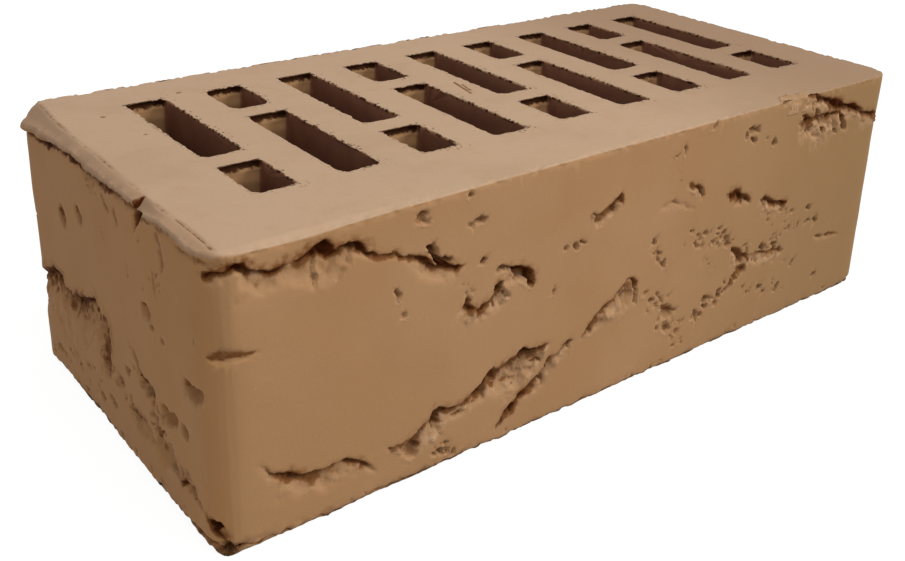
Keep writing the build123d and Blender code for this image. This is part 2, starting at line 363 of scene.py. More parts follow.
# Pits: along, up, half width, half height, lean in degrees, depth, and how soft the rim is
STRETCHER_PITS = (
    (59.6, 64.0, 1.1, 3.6, -38, 4.0, 0.3), (62.4, 60.9, 2.2, 1.3, -20, 3.6, 0.3),
    (74.2, 58.1, 1.5, 0.9, -25, 1.8, 0.4), (80.9, 54.4, 2.4, 1.0, 20, 2.0, 0.4),
    (86.5, 51.6, 2.4, 1.5, 30, 5.4, 0.3), (90.8, 47.4, 1.3, 2.3, -20, 4.2, 0.3),
    (80.2, 48.6, 1.3, 2.2, 20, 3.8, 0.3), (99.1, 42.0, 0.6, 1.7, 0, 0.9, 0.4),
    (102.4, 53.4, 1.0, 0.9, 30, 0.9, 0.5), (106.4, 53.2, 1.6, 1.1, 20, 1.3, 0.5),
    (109.0, 53.6, 1.3, 0.7, 20, 1.0, 0.5), (213.2, 39.0, 1.5, 1.0, 15, 1.8, 0.3),
    (218.1, 33.0, 1.5, 1.2, 20, 1.8, 0.3), (188.2, 45.0, 1.0, 1.9, -10, 2.8, 0.3),
    (202.7, 11.8, 1.1, 2.0, 15, 1.6, 0.3), (192.6, 14.1, 1.0, 1.5, 10, 1.3, 0.4),
    (209.1, 19.0, 0.8, 1.7, 15, 1.4, 0.3), (222.5, 10.5, 1.3, 0.7, 10, 1.0, 0.4),
    (165.8, 18.4, 2.1, 1.4, 15, 1.7, 0.4), (160.8, 14.6, 1.6, 2.3, 20, 1.3, 0.5),
    (147.7, 19.2, 3.2, 3.0, 0, 1.5, 0.6), (148.0, 13.4, 1.9, 2.0, 15, 1.1, 0.4),
    (144.1, 37.8, 1.3, 1.3, 15, 1.4, 0.4), (138.0, 45.9, 0.7, 1.3, -20, 1.2, 0.4),
    (140.6, 41.0, 0.6, 3.0, -35, 1.8, 0.4), (127.4, 31.6, 4.6, 6.6, 30, 0.9, 0.79),
    (118.0, 26.4, 2.2, 4.6, 45, 0.7, 0.79), (169.3, 39.4, 1.3, 1.8, 20, 1.6, 0.4),
    (193.5, 79.0, 3.2, 1.5, 0, 1.5, 0.5), (225.2, 66.0, 1.3, 4.8, -32, 3.0, 0.4),
    (72.3, 69.8, 3.2, 0.9, 10, 1.5, 0.4), (55.8, 74.6, 2.4, 1.7, 10, 1.2, 0.5),
    (70.0, 76.6, 1.2, 1.2, 0, 1.3, 0.4), (49.1, 56.2, 0.6, 2.2, 0, 1.2, 0.4),
    (50.0, 49.9, 0.7, 0.6, 0, 0.6, 0.5), (159.4, 77.4, 0.7, 2.4, 40, 1.3, 0.5),
    (177.6, 72.8, 3.6, 0.7, 12, 1.5, 0.4), (174.6, 70.8, 0.8, 1.7, 0, 1.3, 0.4),
    (178.4, 69.2, 2.2, 0.8, 10, 1.2, 0.4), (189.2, 67.2, 1.1, 1.5, -20, 1.5, 0.4),
    (146.6, 72.0, 0.7, 2.2, 5, 1.4, 0.4), (198.0, 42.6, 2.0, 1.2, 15, 1.4, 0.4),
    (88.6, 49.8, 3.2, 2.4, 40, 3.2, 0.5), (53.2, 9.6, 2.6, 3.0, 20, 2.4, 0.6),
    (60.6, 15.4, 2.2, 2.2, 0, 2.4, 0.6), (62.0, 5.2, 2.6, 0.7, 0, 1.6, 0.4),
)

HEADER_PITS = (
    (30.1, 55.4, 3.0, 3.4, -10, 2.0, 0.6), (43.2, 60.6, 2.8, 3.2, -10, 2.0, 0.6),
    (62.9, 72.7, 0.9, 2.0, -25, 1.4, 0.4), (64.8, 69.9, 0.9, 1.6, -30, 1.4, 0.4),
    (70.0, 70.0, 1.2, 2.2, -30, 1.6, 0.4), (95.6, 74.0, 0.9, 2.6, -10, 1.6, 0.4),
    (97.0, 69.6, 0.9, 2.4, -10, 1.6, 0.4), (91.9, 61.8, 1.0, 4.0, -5, 1.0, 0.7),
    (86.0, 51.8, 3.6, 2.4, -20, 1.4, 0.75), (88.9, 49.2, 1.2, 0.9, 0, 1.4, 0.4),
    (94.9, 48.4, 1.2, 1.0, 0, 1.4, 0.4), (18.0, 33.0, 3.2, 1.9, 0, 5.0, 0.4),
    (55.2, 20.9, 2.2, 1.3, -10, 1.6, 0.4), (64.6, 21.0, 2.4, 1.5, -20, 2.2, 0.4),
    (69.7, 27.7, 1.9, 1.4, -20, 1.8, 0.4), (16.0, 7.8, 2.4, 1.0, -10, 1.2, 0.4),
    (49.4, 8.7, 2.0, 1.2, 0, 1.6, 0.4), (57.4, 11.4, 2.2, 1.2, 0, 1.8, 0.4),
    (110.0, 42.3, 6.0, 3.2, -4, 2.2, 0.75), (95.0, 27.4, 5.6, 2.6, -10, 2.2, 0.6),
    (103.6, 28.0, 2.8, 1.9, 20, 2.0, 0.5), (83.2, 28.9, 4.4, 2.5, -20, 2.4, 0.5),
    (95.6, 15.2, 2.8, 4.2, -30, 4.2, 0.4), (106.4, 13.0, 2.0, 2.4, -30, 3.2, 0.4),
    (75.0, 17.0, 3.6, 1.2, 0, 2.6, 0.4), (115.8, 8.8, 2.2, 1.6, -30, 2.6, 0.4),
    (77.6, 33.8, 1.0, 3.6, -42, 1.8, 0.4), (24.0, 12.0, 1.6, 0.8, 0, 1.2, 0.4),
    (33.0, 10.6, 1.8, 0.8, 0, 1.2, 0.4), (41.0, 14.4, 1.6, 0.9, 0, 1.2, 0.4),
)

# Marks on the upper bed: from and to, half width and depth; none reaches farther than this
MARK_REACH = 16
BED_MARKS = (
    ((-7.1, 10.4), (-9.5, -1.4), 0.35, 0.35), ((-6.3, 7.5), (-7.9, 1.0), 0.3, 0.25),
    ((-109, 36.5), (-108.6, 36.2), 0.5, 0.5), ((-82.5, 45.6), (-82, 45.6), 0.6, 0.5),
    ((-104.8, 17.3), (-104.5, 17.0), 0.4, 0.4), ((-63.6, 34.0), (-63.3, 33.6), 0.4, 0.4),
    ((22.5, -33.5), (22.8, -33.4), 0.4, 0.4), ((-42.0, -37.0), (-41.8, -37.0), 0.35, 0.3),
)

# Crumbled bands: their middle line, half their width, how many pits, the widest half pit and the deepest
STRETCHER_BANDS = (
    ([(150, 43), (158, 42), (166, 40.5), (173, 37)], 3.4, 30, 1.5, 1.2),
    ([(217.5, 33), (207, 33), (200, 33), (195, 31.5), (191, 28.5)], 1.4, 24, 1.1, 1.3),
    ([(176, 34), (184, 29.5), (192, 27.5), (203, 25.5)], 2.6, 30, 2.0, 2.2),
    ([(184, 27), (179, 23.5), (173, 19), (167, 16), (160, 12)], 1.7, 32, 1.7, 1.8),
    ([(139, 27), (146, 20), (151, 12), (154, 8)], 3.8, 36, 1.9, 1.4),
    ([(188, 42), (196, 40), (204, 37.5)], 2.4, 14, 1.3, 1.2),
    ([(137.5, 46.5), (139, 43), (142, 38.5), (145, 35.5)], 0.9, 14, 1.0, 1.1),
    ([(163, 33), (169, 29)], 1.4, 9, 1.0, 1.0),
    ([(198, 15), (205, 10)], 1.6, 9, 1.2, 1.2),
    ([(184, 17), (196, 13)], 2.0, 9, 0.9, 1.0),
    ([(204, 71), (226, 66)], 3.2, 26, 1.7, 1.8),
    ([(144, 72), (147, 62)], 0.8, 7, 0.6, 1.2),
    ([(174, 73), (190, 68)], 2.0, 9, 0.7, 1.4),
    ([(206, 21), (212, 17)], 1.2, 7, 0.9, 1.0),
    ([(66, 55), (72, 48)], 1.6, 8, 0.9, 0.8),
    ([(60, 8), (66, 4)], 1.6, 9, 1.4, 1.4),
    ([(20, 2), (90, 2), (160, 2), (240, 2)], 1.4, 40, 1.0, 0.9),
)

HEADER_BANDS = (
    ([(72, 34), (80, 30), (88, 22), (98, 15), (110, 11)], 4.0, 52, 1.7, 1.4),
    ([(52, 22), (66, 20), (78, 14)], 3.0, 28, 1.4, 1.3),
    ([(8, 10), (30, 8), (50, 14)], 4.0, 26, 1.2, 1.0),
    ([(6, 2.5), (70, 2.5), (116, 2.5)], 2.2, 44, 1.5, 1.3),
    ([(3, 70), (3, 38)], 2.4, 18, 1.1, 0.9),
    ([(30, 66), (110, 62)], 9.0, 18, 0.7, 0.7),
    ([(46, 75), (60, 72)], 2.0, 16, 0.9, 1.0),
    ([(96, 70), (93, 58)], 1.4, 10, 0.8, 0.9),
)


# Hand tools for the block

def deselect():
    """Nothing selected, in object mode."""
    if bpy.context.mode != "OBJECT":
        bpy.ops.object.mode_set(mode="OBJECT")
    bpy.ops.object.select_all(action="DESELECT")


def take(*pieces):
    """Only these objects selected, with the first one active."""
    deselect()
    for piece in pieces:
        piece.select_set(True)
    bpy.context.view_layer.objects.active = pieces[0]


def bevel_edges(piece, wanted, width, segments):
    """Bevels the edges of a piece whose two ends satisfy the test."""
    take(piece)
    bpy.ops.object.mode_set(mode="EDIT")
    bpy.ops.mesh.select_mode(type="EDGE")
    bpy.ops.mesh.select_all(action="DESELECT")
    mesh = bmesh.from_edit_mesh(piece.data)
    for edge in mesh.edges:
        edge.select_set(wanted(edge.verts[0].co, edge.verts[1].co))
    mesh.select_flush_mode()
    bmesh.update_edit_mesh(piece.data)
    bpy.ops.mesh.bevel(offset=width, segments=segments, affect="EDGES")
    bpy.ops.object.mode_set(mode="OBJECT")


def upright(first, second):
    """True for an edge that stands straight up."""
    return abs(first.z - second.z) > 10 * MM and (first.xy - second.xy).length < MM


def apply_modifier(piece, kind, **settings):
    """Adds a modifier, sets it and applies it."""
    take(piece)
    modifier = piece.modifiers.new(kind.title(), kind)
    for name, value in settings.items():
        setattr(modifier, name, value)
    bpy.ops.object.modifier_apply(modifier=modifier.name)


def upright_block(name, width, depth, low, high, radius, segments):
    """A block with rounded upright corners, from a low to a high level."""
    deselect()
    middle = (0, 0, (low + high) / 2)
    bpy.ops.mesh.primitive_cube_add(size=1, location=middle, scale=(width, depth, high - low))
    block = bpy.context.object
    block.name = name
    bpy.ops.object.transform_apply(location=True, rotation=True, scale=True)
    bevel_edges(block, upright, radius, segments)
    return block


def slot_places(sizes):
    """(x, y, is long) of every slot's middle, and the lengths of a long and of a short slot, in metres."""
    run = sizes.depth - sizes.stretcher_wall - sizes.rear_wall - sizes.slot_bridge
    long_run = sizes.long_share * run
    short_run = run - long_run
    pitch = (sizes.length - sizes.header_wall - sizes.end_wall - sizes.slot_width) / (sizes.columns - 1)
    first = sizes.header_wall + sizes.slot_width / 2 - sizes.length / 2
    front = sizes.stretcher_wall - sizes.depth / 2
    rear = sizes.depth / 2 - sizes.rear_wall
    places = []
    for column in range(sizes.columns):
        long_in_front = column % 2 == 1
        front_run = long_run if long_in_front else short_run
        rear_run = short_run if long_in_front else long_run
        places.append((first + column * pitch, front + front_run / 2, long_in_front))
        places.append((first + column * pitch, rear - rear_run / 2, not long_in_front))
    return places, long_run, short_run


def cut_slots(block, sizes):
    """Cuts all the slots right through the block."""
    places, long_run, short_run = slot_places(sizes)
    models = {
        is_long: upright_block("slot_model", sizes.slot_width, run, -CUTTER_PAST, sizes.height + CUTTER_PAST,
                               sizes.slot_corner, SLOT_SEGMENTS)
        for is_long, run in ((True, long_run), (False, short_run))
    }
    cutters = []
    for x, y, is_long in places:
        take(models[is_long])
        bpy.ops.object.duplicate()
        bpy.ops.transform.translate(value=(x, y, 0))
        cutters.append(bpy.context.object)
    take(*cutters)
    bpy.ops.object.join()
    slots = bpy.context.object
    bpy.ops.object.transform_apply(location=True, rotation=True, scale=True)
    apply_modifier(block, "BOOLEAN", object=slots, operation="DIFFERENCE", solver="EXACT")
    take(slots, *models.values())
    bpy.ops.object.delete()


def slotted_block(sizes):
    """The block with worn arrises and its slots, in even cells that the relief can be worked in."""
    block = upright_block("fired_brick", sizes.length, sizes.depth, 0, sizes.height, sizes.corner_radius,
                          CORNER_SEGMENTS)

    def on_rim(first, second):
        level = abs(first.z - second.z) < MM / 10
        return level and (first.z < MM or first.z > sizes.height - MM)

    bevel_edges(block, on_rim, sizes.arris_wear, ARRIS_SEGMENTS)
    cut_slots(block, sizes)
    cell = sizes.grain_size * 1
    apply_modifier(block, "REMESH", mode="VOXEL", voxel_size=cell, adaptivity=0)
    return block


# Noise and lines for the relief

def step(low, high, value):
    """0 below low, 1 above high, smooth between; low may be the greater."""
    t = np.clip((value - low) / (high - low), 0, 1)
    return t * t * (3 - 2 * t)


def clods(points, size, seed):
    """Smooth random values from -1 to 1, about a size apart, at points of two or three coordinates."""
    cells = points / size
    low = np.floor(cells)
    part = cells - low
    part = part * part * (3 - 2 * part)
    low = low.astype(np.int64)
    factors = (374761393, 668265263, 2147483647)
    total = np.zeros(len(points))
    axes = points.shape[1]
    for corner in range(2 ** axes):
        code = np.full(len(points), seed * 69069 + 12345, np.int64)
        weight = np.ones(len(points))
        for axis in range(axes):
            bit = corner >> axis & 1
            code += (low[:, axis] + bit) * factors[axis]
            weight *= part[:, axis] if bit else 1 - part[:, axis]
        code &= 0xFFFFFFFF
        code = (code ^ code >> 13) * 1274126177 & 0xFFFFFFFF
        code = (code ^ code >> 15) * 2246822519 & 0xFFFFFFFF
        code ^= code >> 16
        total += weight * (code / 2147483648.0 - 1)
    return total


def layers(points, size, seed, count):
    """Random values in several layers, each half as wide and half as strong as the one before."""
    total = clods(points, size, seed)
    for layer in range(1, count):
        total = total + clods(points, size / 2 ** layer, seed + layer) / 2 ** layer
    return total


def from_lip(points, line):
    """Distance past a lip (below zero on the skin), its depth and reach there, and the way down from it."""
    line = np.array(line, float)
    best = np.full(len(points), np.inf)
    past, depth, reach = (np.zeros(len(points)) for _ in range(3))
    away = np.zeros((len(points), 2))
    for start, end in zip(line[:-1], line[1:]):
        along = end[:2] - start[:2]
        length = math.hypot(*along)
        out = np.array((along[1], -along[0])) / length
        rel = points - start[:2]
        share = np.clip(rel @ along / length ** 2, 0, 1)
        gap = np.hypot(*(rel - share[:, None] * along).T)
        across = rel @ out
        # where two stretches meet, the one that the point faces more squarely counts
        rank = gap - 0.02 * np.abs(across)
        near = rank < best
        best[near] = rank[near]
        past[near] = (np.where(across < 0, -1, 1) * gap)[near]
        depth[near] = (start[2] + share * (end[2] - start[2]))[near]
        reach[near] = (start[3] + share * (end[3] - start[3]))[near]
        away[near] = out
    return past, depth, reach, away


def read_vectors(items, name):
    """An array with one vector of each item of a mesh."""
    values = np.empty(len(items) * 3, np.float32)
    items.foreach_get(name, values)
    return values.reshape(-1, 3).astype(float)


def slot_gap(flat, sizes):
    """Distance from each point to the nearest slot's wall, below zero inside, and the way out of the slot."""
    places, long_run, short_run = slot_places(sizes)
    best = np.full(len(flat), np.inf)
    out = np.zeros((len(flat), 2))
    radius = sizes.slot_corner / MM
    for x, y, is_long in places:
        half = np.array((sizes.slot_width, long_run if is_long else short_run)) / MM / 2
        rel = flat - np.array((x, y)) / MM
        edge = np.abs(rel) - (half - radius)
        outer = np.maximum(edge, 0)
        gap = np.hypot(*outer.T) + np.minimum(np.max(edge, axis=1), 0) - radius
        way = outer * np.sign(rel)
        way /= np.maximum(np.hypot(*way.T), 1e-6)[:, None]
        near = gap < best
        best[near] = gap[near]
        out[near] = way[near]
    return best, out


class Face:
    """Relief of one torn face: how far in each point goes, how it slides, what is torn, and where shade is
    painted.
    """

    def __init__(self, points, seed):
        self.points, self.seed = points, seed
        self.inward, self.torn, self.shade_and_marks = (np.zeros(len(points)) for _ in range(3))
        self.slide = np.zeros((len(points), 2))
        ragged = np.stack([layers(points, 3.0, seed + 10 * side, 3) for side in (1, 2)], axis=1)
        crumbly = np.stack([layers(points, 1.2, seed + 10 * side + 5, 2) for side in (1, 2)], axis=1)
        self.ragged = points + 0.75 * ragged
        self.crumbly = self.ragged + 0.4 * crumbly
        self.wide = layers(points, 6.0, seed + 31, 2)
        self.lumps = layers(points, 4.0, seed + 36, 2)
        self.rough = layers(points, 1.8, seed + 41, 3)
        self.random = np.random.default_rng(seed)

    def near(self, low, high):
        """Numbers of the points in a rectangle."""
        return np.nonzero(np.all((self.points > low) & (self.points < high), axis=1))[0]

    def tear(self, line, slope, shade_darkness, roughness):
        """Tears the clay away below a lip: a wall, a crack at its foot and a rough, ragged floor, with
        painted shade.
        """
        flat = np.array(line)[:, :2]
        margin = max(point[3] for point in line) * 1.5 + 4
        ids = self.near(flat.min(axis=0) - margin, flat.max(axis=0) + margin)
        past, depth, reach, away = from_lip(self.ragged[ids], line)
        wide, lumps = self.wide[ids], self.lumps[ids]
        reach = reach * (1 + 0.35 * wide)
        depth = TEAR_DEPTH * depth * (1 + 0.3 * wide)
        share = np.clip(past / reach, 0, 1.5)
        strength = np.clip(depth / 3.0, 0, 1)
        slope = slope + 0.4 * depth * np.clip(1 + 0.6 * lumps, 0.3, 1.6)

        # the hole, and the skin that curls up and droops at its lip
        wall = step(-0.1, slope, past)
        crack = np.exp(-((past - slope) / 0.8) ** 2)
        floor = (0.22 + 0.5 * np.clip(1 - share, 0, 1)) * step(1.2, 0.5, share)
        hole = depth * wall * (floor + 0.3 * crack)
        curl = 0.25 * strength * np.exp(-((past + 0.6) / 0.9) ** 2) * (past < 0.4)
        before = self.inward[ids]
        self.inward[ids] = np.maximum(hole, before) - curl * (before < 0.3)
        droop = 0.3 * strength * np.exp(-((past + 0.1) / 0.8) ** 2)
        self.slide[ids] += droop[:, None] * away

        # the floor's torn clay, and painted shade: darkest in the crack, lighter on the skin over it and on
        # the floor
        torn = roughness * wall * step(1.2, 0.55, share) * np.clip(depth / 1.2, 0, 1)
        self.torn[ids] = np.maximum(self.torn[ids], torn)
        over = past < 0.5
        spread = (0.45 * slope + 0.5) * np.where(past > slope, 1.2 + 0.5 * roughness, 1)
        shaded = step(-0.3, 0.3, past) * np.exp(-((past - 0.7 * slope) / spread) ** 2)
        shaded += 0.4 * np.clip(lumps, 0, 1) * np.exp(-((past + 0.2) / 0.7) ** 2) * over
        shaded = np.maximum(shaded, 0.24 * np.exp(-(past / 2.2) ** 2) * over)
        shaded *= shade_darkness * np.clip((depth - 0.2) / 2.0, 0, 1) * np.clip(1 + 0.45 * lumps, 0.35, 1.25)
        floor_shade = 0.15 * wall * step(1.1, 0.3, share) * strength * np.clip(1 + 0.5 * wide, 0, 2)
        self.shade_and_marks[ids] = np.maximum(self.shade_and_marks[ids], np.maximum(shaded, floor_shade))

    def groove(self, line, above, below):
        """A wedge pressed in, with a gentle slope above its line and a steep one below."""
        line = np.array(line, float)
        spread = 0.7 * self.points + 0.3 * self.ragged
        middle = np.interp(spread[:, 0], line[:, 0], line[:, 1])
        depth = np.interp(spread[:, 0], line[:, 0], line[:, 2], left=0, right=0)
        size = depth / line[:, 2].max()
        rise = spread[:, 1] - middle
        share = np.where(rise > 0, rise / above, -rise / below) / np.maximum(size, 0.05)
        self.inward = np.maximum(self.inward, depth * np.clip(1 - share, 0, 1))
        # painted shade on the wedge's gentle upper facet
        shaded = 0.42 * step(1.05, 0.5, share) * step(-0.3, 0.2, rise) * step(0.0, 0.3, size)
        self.shade_and_marks = np.maximum(self.shade_and_marks, shaded)

    def pit(self, along, up, half_width, half_height, lean, depth, soft):
        """A leaning oval pit with a ragged rim, painted shade in its upper part and a painted highlight on
        its lower rim.
        """
        middle = np.array((along, up))
        margin = 2 * max(half_width, half_height) + 1
        ids = self.near(middle - margin, middle + margin)
        rel = self.crumbly[ids] - middle
        turn = math.radians(lean)
        across = rel[:, 0] * math.cos(turn) - rel[:, 1] * math.sin(turn)
        rise = rel[:, 0] * math.sin(turn) + rel[:, 1] * math.cos(turn)
        ring = np.hypot(across / half_width, rise / half_height)
        depth *= PIT_DEPTH
        self.inward[ids] = np.maximum(self.inward[ids], depth * step(1.0, 1.0 - soft, ring))
        level = rel[:, 1] / half_height
        # painted highlight on the lower rim, in the pale torn clay's colour; painted shade in the upper part
        # below
        pale = 0.5 * step(0.2, -0.7, level) * step(1.3, 1.05, ring) * step(0.65, 0.9, ring)
        self.torn[ids] = np.maximum(self.torn[ids], pale)
        shaded = step(1.05, 0.6, ring) * step(-0.6, 0.5, level) * min(0.85, 0.05 + depth / 4.5)
        self.shade_and_marks[ids] = np.maximum(self.shade_and_marks[ids], shaded)

    def crumble(self, line, half_band, count, half_pit, deepest):
        """Small ragged pits strewn along a line."""
        line = np.array(line, float)
        runs = np.hypot(*np.diff(line, axis=0).T)
        ends = np.concatenate(((0,), np.cumsum(runs)))
        for _ in range(count):
            at, off_along, off_up, size, slim, lean, depth = self.random.random(7)
            along, up = (np.interp(at * ends[-1], ends, line[:, axis]) for axis in (0, 1))
            along += half_band * (2 * off_along - 1)
            up += half_band * (2 * off_up - 1)
            half = half_pit * (0.3 + 0.7 * size ** 2)
            depth = deepest * (0.35 + 0.65 * depth) * (0.5 + 0.5 * size)
            half_width, half_height = half * (0.55 + 0.6 * slim), half * (1.15 - 0.6 * slim)
            self.pit(along, up, half_width, half_height, 140 * lean - 70, depth, 0.5)

    def shade_hollow(self, line):
        """Patchy painted shade under the lip of a broad hollow."""
        past, depth, _, _ = from_lip(self.crumbly, line)
        fading = np.exp(-(np.maximum(past - 2, 0) / 5.5) ** 2)
        shaded = step(0.0, 1.0, past) * fading * np.clip(depth / 2, 0, 1)
        self.shade_and_marks = np.maximum(self.shade_and_marks, shaded * np.clip(0.5 + 0.5 * self.rough, 0, 0.9))

    def finish(self):
        """Breaks up the torn floors, with painted shade in the creases between their lumps, and gives the
        skin slow waves.
        """
        points, seed = self.points, self.seed
        billow = np.abs(clods(points, 3.4, seed + 61)) + 0.6 * np.abs(clods(points, 1.7, seed + 62))
        scoops = clods(points, 6.0, seed + 63)
        depth = np.clip(self.inward / 0.6, 0, 1)
        self.inward += self.torn * depth * (0.3 * self.rough + 0.6 * scoops + 0.5 - 1.7 * billow)
        # painted shade in the creases
        creases = step(0.34, 0.10, billow + 0.25 * np.clip(-scoops, -1, 1))
        self.shade_and_marks = np.maximum(self.shade_and_marks, 0.55 * self.torn * depth * creases)
        self.inward += 0.10 * layers(points, 14.0, seed + 71, 2)


class Clay:
    """The block's clay while it is worked: where each point was and is, and what it shows."""

    def __init__(self, block, sizes):
        self.mesh, self.sizes = block.data, sizes
        self.start = read_vectors(self.mesh.vertices, "co") / MM
        self.normal = read_vectors(self.mesh.vertex_normals, "vector")
        self.place = self.start.copy()
        self.half_length, self.half_depth = sizes.length / MM / 2, sizes.depth / MM / 2
        self.height = sizes.height / MM
        to_end = self.half_length - np.abs(self.start[:, 0])
        to_face = self.half_depth - np.abs(self.start[:, 1])
        self.near_side = np.minimum(to_end, to_face)
        self.torn, self.shade_and_marks, self.bed, self.pressed = (np.zeros(len(self.start)) for _ in LAYERS)

    def darken(self, ids, shade):
        """Darkens points that aren't darker already: painted shade, and the darker marks on the bed and the
        rear edge.
        """
        self.shade_and_marks[ids] = np.maximum(self.shade_and_marks[ids], shade)

    def tear_face(self, axis, seed, lips, grooves, pits, bands):
        """Works one torn face: the stretcher, which lies across axis 1, or the header, across axis 0."""
        header = axis == 0
        edge = self.half_length if header else self.half_depth
        ids = np.nonzero((self.start[:, axis] < FACE_SKIN - edge) & (self.normal[:, axis] < -0.2))[0]
        x, y, z = self.start[ids].T
        face = Face(np.stack((self.half_depth - y if header else x + self.half_length, z), axis=1), seed)
        for shade_darkness, roughness, line in lips:
            face.tear(line, HOLLOW_SLOPE if line is HEADER_HOLLOW else LIP_SLOPE, shade_darkness, roughness)
        for groove in grooves:
            face.groove(*groove)
        for pit in pits:
            face.pit(*pit)
        for band in bands:
            face.crumble(*band)
        if header:
            face.shade_hollow(HEADER_HOLLOW)
        face.finish()
        if header:
            face.inward += HEADER_WAVE * layers(face.points, 22.0, seed + 91, 2)
        weight = step(0.25, 0.75, -self.normal[ids, axis])
        self.place[ids, axis] += weight * face.inward
        self.place[ids, 1 - axis] += weight * face.slide[:, 0] * (-1 if header else 1)
        self.place[ids, 2] += weight * face.slide[:, 1]
        self.torn[ids] = np.maximum(self.torn[ids], weight * face.torn)
        self.darken(ids, weight * face.shade_and_marks)

    def sag_arris(self):
        """Upper arris that sags over the stretcher's left part."""
        front, top = -self.half_depth, self.height
        ids = np.nonzero((self.start[:, 1] < front + 6) & (self.start[:, 2] > top - 7))[0]
        x, y, z = self.start[ids].T
        sag = np.interp(x + self.half_length, *ARRIS_SAG)
        self.place[ids, 2] -= sag * step(front + 2.6, front + 0.2, y) * step(top - 7, top - 0.5, z)

    def press_lip(self):
        """Lip pressed down along the header's upper edge: it hangs over at the far end, and one flap ends."""
        end, top = -self.half_length, self.height
        ids = np.nonzero((self.start[:, 0] < end + LIP_REACH) & (self.start[:, 2] > top - LIP_REACH))[0]
        x, y, z = self.start[ids].T
        along = self.half_depth - y
        line = np.stack((along, np.zeros(len(ids))), axis=1)
        crease = np.interp(along, *LIP_CREASE) + end + 0.2 * layers(line, 13.0, CREASE_SEED, 2)
        slope = np.clip(crease - x, 0, 5.6)
        tilt = np.interp(along, *LIP_TILT) * (1 + 0.10 * layers(line, 9.0, TILT_SEED, 3))
        sinking = np.clip((z - top + LIP_REACH) / 8.5, 0, 1)
        upper = step(top - 1.2, top - 0.5, z)
        run = along - FLAP_END - 0.25 * layers(np.stack((z, x), axis=1), 2.0, FLAP_SEED, 2)
        gone = step(-0.15, 0.35, run) * np.clip(1 - run / FLAP_TAIL, 0, 1)
        self.place[ids, 2] -= sinking * (tilt * slope + FLAP_DROP * gone * step(0.0, 2.5, slope))
        self.pressed[ids] = upper * step(0.0, 0.4, slope)

        # seam along its crease and the flap's end, both with painted shade, and the hanging part
        seam = upper * np.exp(-((x - crease) / SEAM_WIDTH) ** 2) * np.interp(along, *LIP_SEAM)
        seam *= np.clip(0.8 + 0.3 * layers(line, 5.0, SEAM_SEED, 2), 0.5, 1)
        self.place[ids, 2] -= SEAM_DEPTH * seam
        flap_end = upper * step(-0.2, 0.1, run) * step(1.3, 0.8, run) * step(0.0, 0.8, slope)
        self.darken(ids, np.maximum(SEAM_SHADE * seam, flap_end))
        hang = np.interp(along, *LIP_HANG) * (1 + 0.3 * layers(line, 4.0, HANG_SEED, 2))
        self.place[ids, 0] -= hang * step(end + 1.6, end + 0.4, x) * step(top - 2.6, top - 1.8, z)

        # pocket under the flap's end with painted shade in it, and painted shade under the lip
        fall = top - z + 0.4 * layers(np.stack((along, z), axis=1), 2.2, POCKET_SEED, 3)
        facing = step(0.3, 0.7, -self.normal[ids, 0])
        width = np.clip(0.7 * (POCKET_FALL - fall), 0.05, None)
        pocket = step(-0.15, 0.35, run) * step(1.0, 0.6, run / width)
        pocket *= step(POCKET_FALL, POCKET_FALL - 2, fall)
        self.place[ids, 0] += POCKET_DEPTH * pocket * facing
        self.darken(ids, pocket * facing * step(3.6, 0.8, run))
        hem = np.maximum(tilt * (crease - end), 0.6)
        tail = hem + 1.8 + 1.8 * np.clip(layers(line, 2.4, TAIL_SEED, 2), -0.3, 1)
        shade = np.interp(along, *LIP_SHADE) * facing * step(hem - 0.5, hem, fall)
        self.darken(ids, shade * step(tail, 0.5 * (hem + tail), fall))

    def open_mouths(self, gap, out):
        """Ragged slot mouths: a burr that hangs into the slot over a torn band of wall."""
        ids = np.nonzero((gap < MOUTH_WIDTH) & (self.start[:, 2] > self.height - MOUTH_DEPTH))[0]
        deep = self.height - self.start[ids, 2]
        ways = out[ids]
        ragged = layers(self.start[ids], 1.8, MOUTH_SEED, 2)
        patchy = layers(self.start[ids], 7.0, PATCH_SEED, 2)
        torn_side = step(0.3, 0.7, ways[:, 1] + 0.15 * patchy)
        wall = step(0.6, 0.1, np.abs(gap[ids]))
        band = step(0.3, 0.6, deep) * step(2.6, 1.9, deep + 0.6 * ragged)
        rim = step(0.6, 0.2, deep)
        rear = step(0.2, 0.7, ways[:, 1]) * step(MOUTH_DEPTH, 3.0, deep)
        move = wall * (0.6 * rear + 0.9 * band * torn_side + 0.45 * rim * ragged)
        self.place[ids, :2] += move[:, None] * ways

    def wear_edges(self):
        """Worn and nibbled outer edges, with a darker fringe on the rear one."""
        near_bed = np.minimum(self.start[:, 2], self.height - self.start[:, 2])
        ids = np.nonzero((self.near_side < 2.0) & (near_bed < 2.0))[0]
        start, normal, near_side = self.start[ids], self.normal[ids], self.near_side[ids]
        nibble = layers(start, 2.0, NIBBLE_SEED, 3) + 0.4 * layers(start, 6.0, CHIP_SEED, 2)
        worn = step(2.0, 0.3, near_side) * step(2.0, 0.3, near_bed[ids])
        header_foot = (start[:, 0] < 2.5 - self.half_length) & (start[:, 2] < 2.5)
        rear_top = (start[:, 1] > self.half_depth - 2.5) & (start[:, 2] > self.height - 2.5)
        worn *= 1 + 1.2 * header_foot + 0.8 * rear_top
        self.place[ids] -= normal * (worn * (0.1 + 0.5 * np.clip(nibble - 0.1, -0.2, 1)))[:, None]
        fringe = rear_top * step(0.0, 0.5, layers(start, 2.6, FRINGE_SEED, 2)) * step(1.6, 0.8, near_side)
        self.darken(ids, 0.8 * fringe * step(0.15, 0.5, normal[:, 2]))

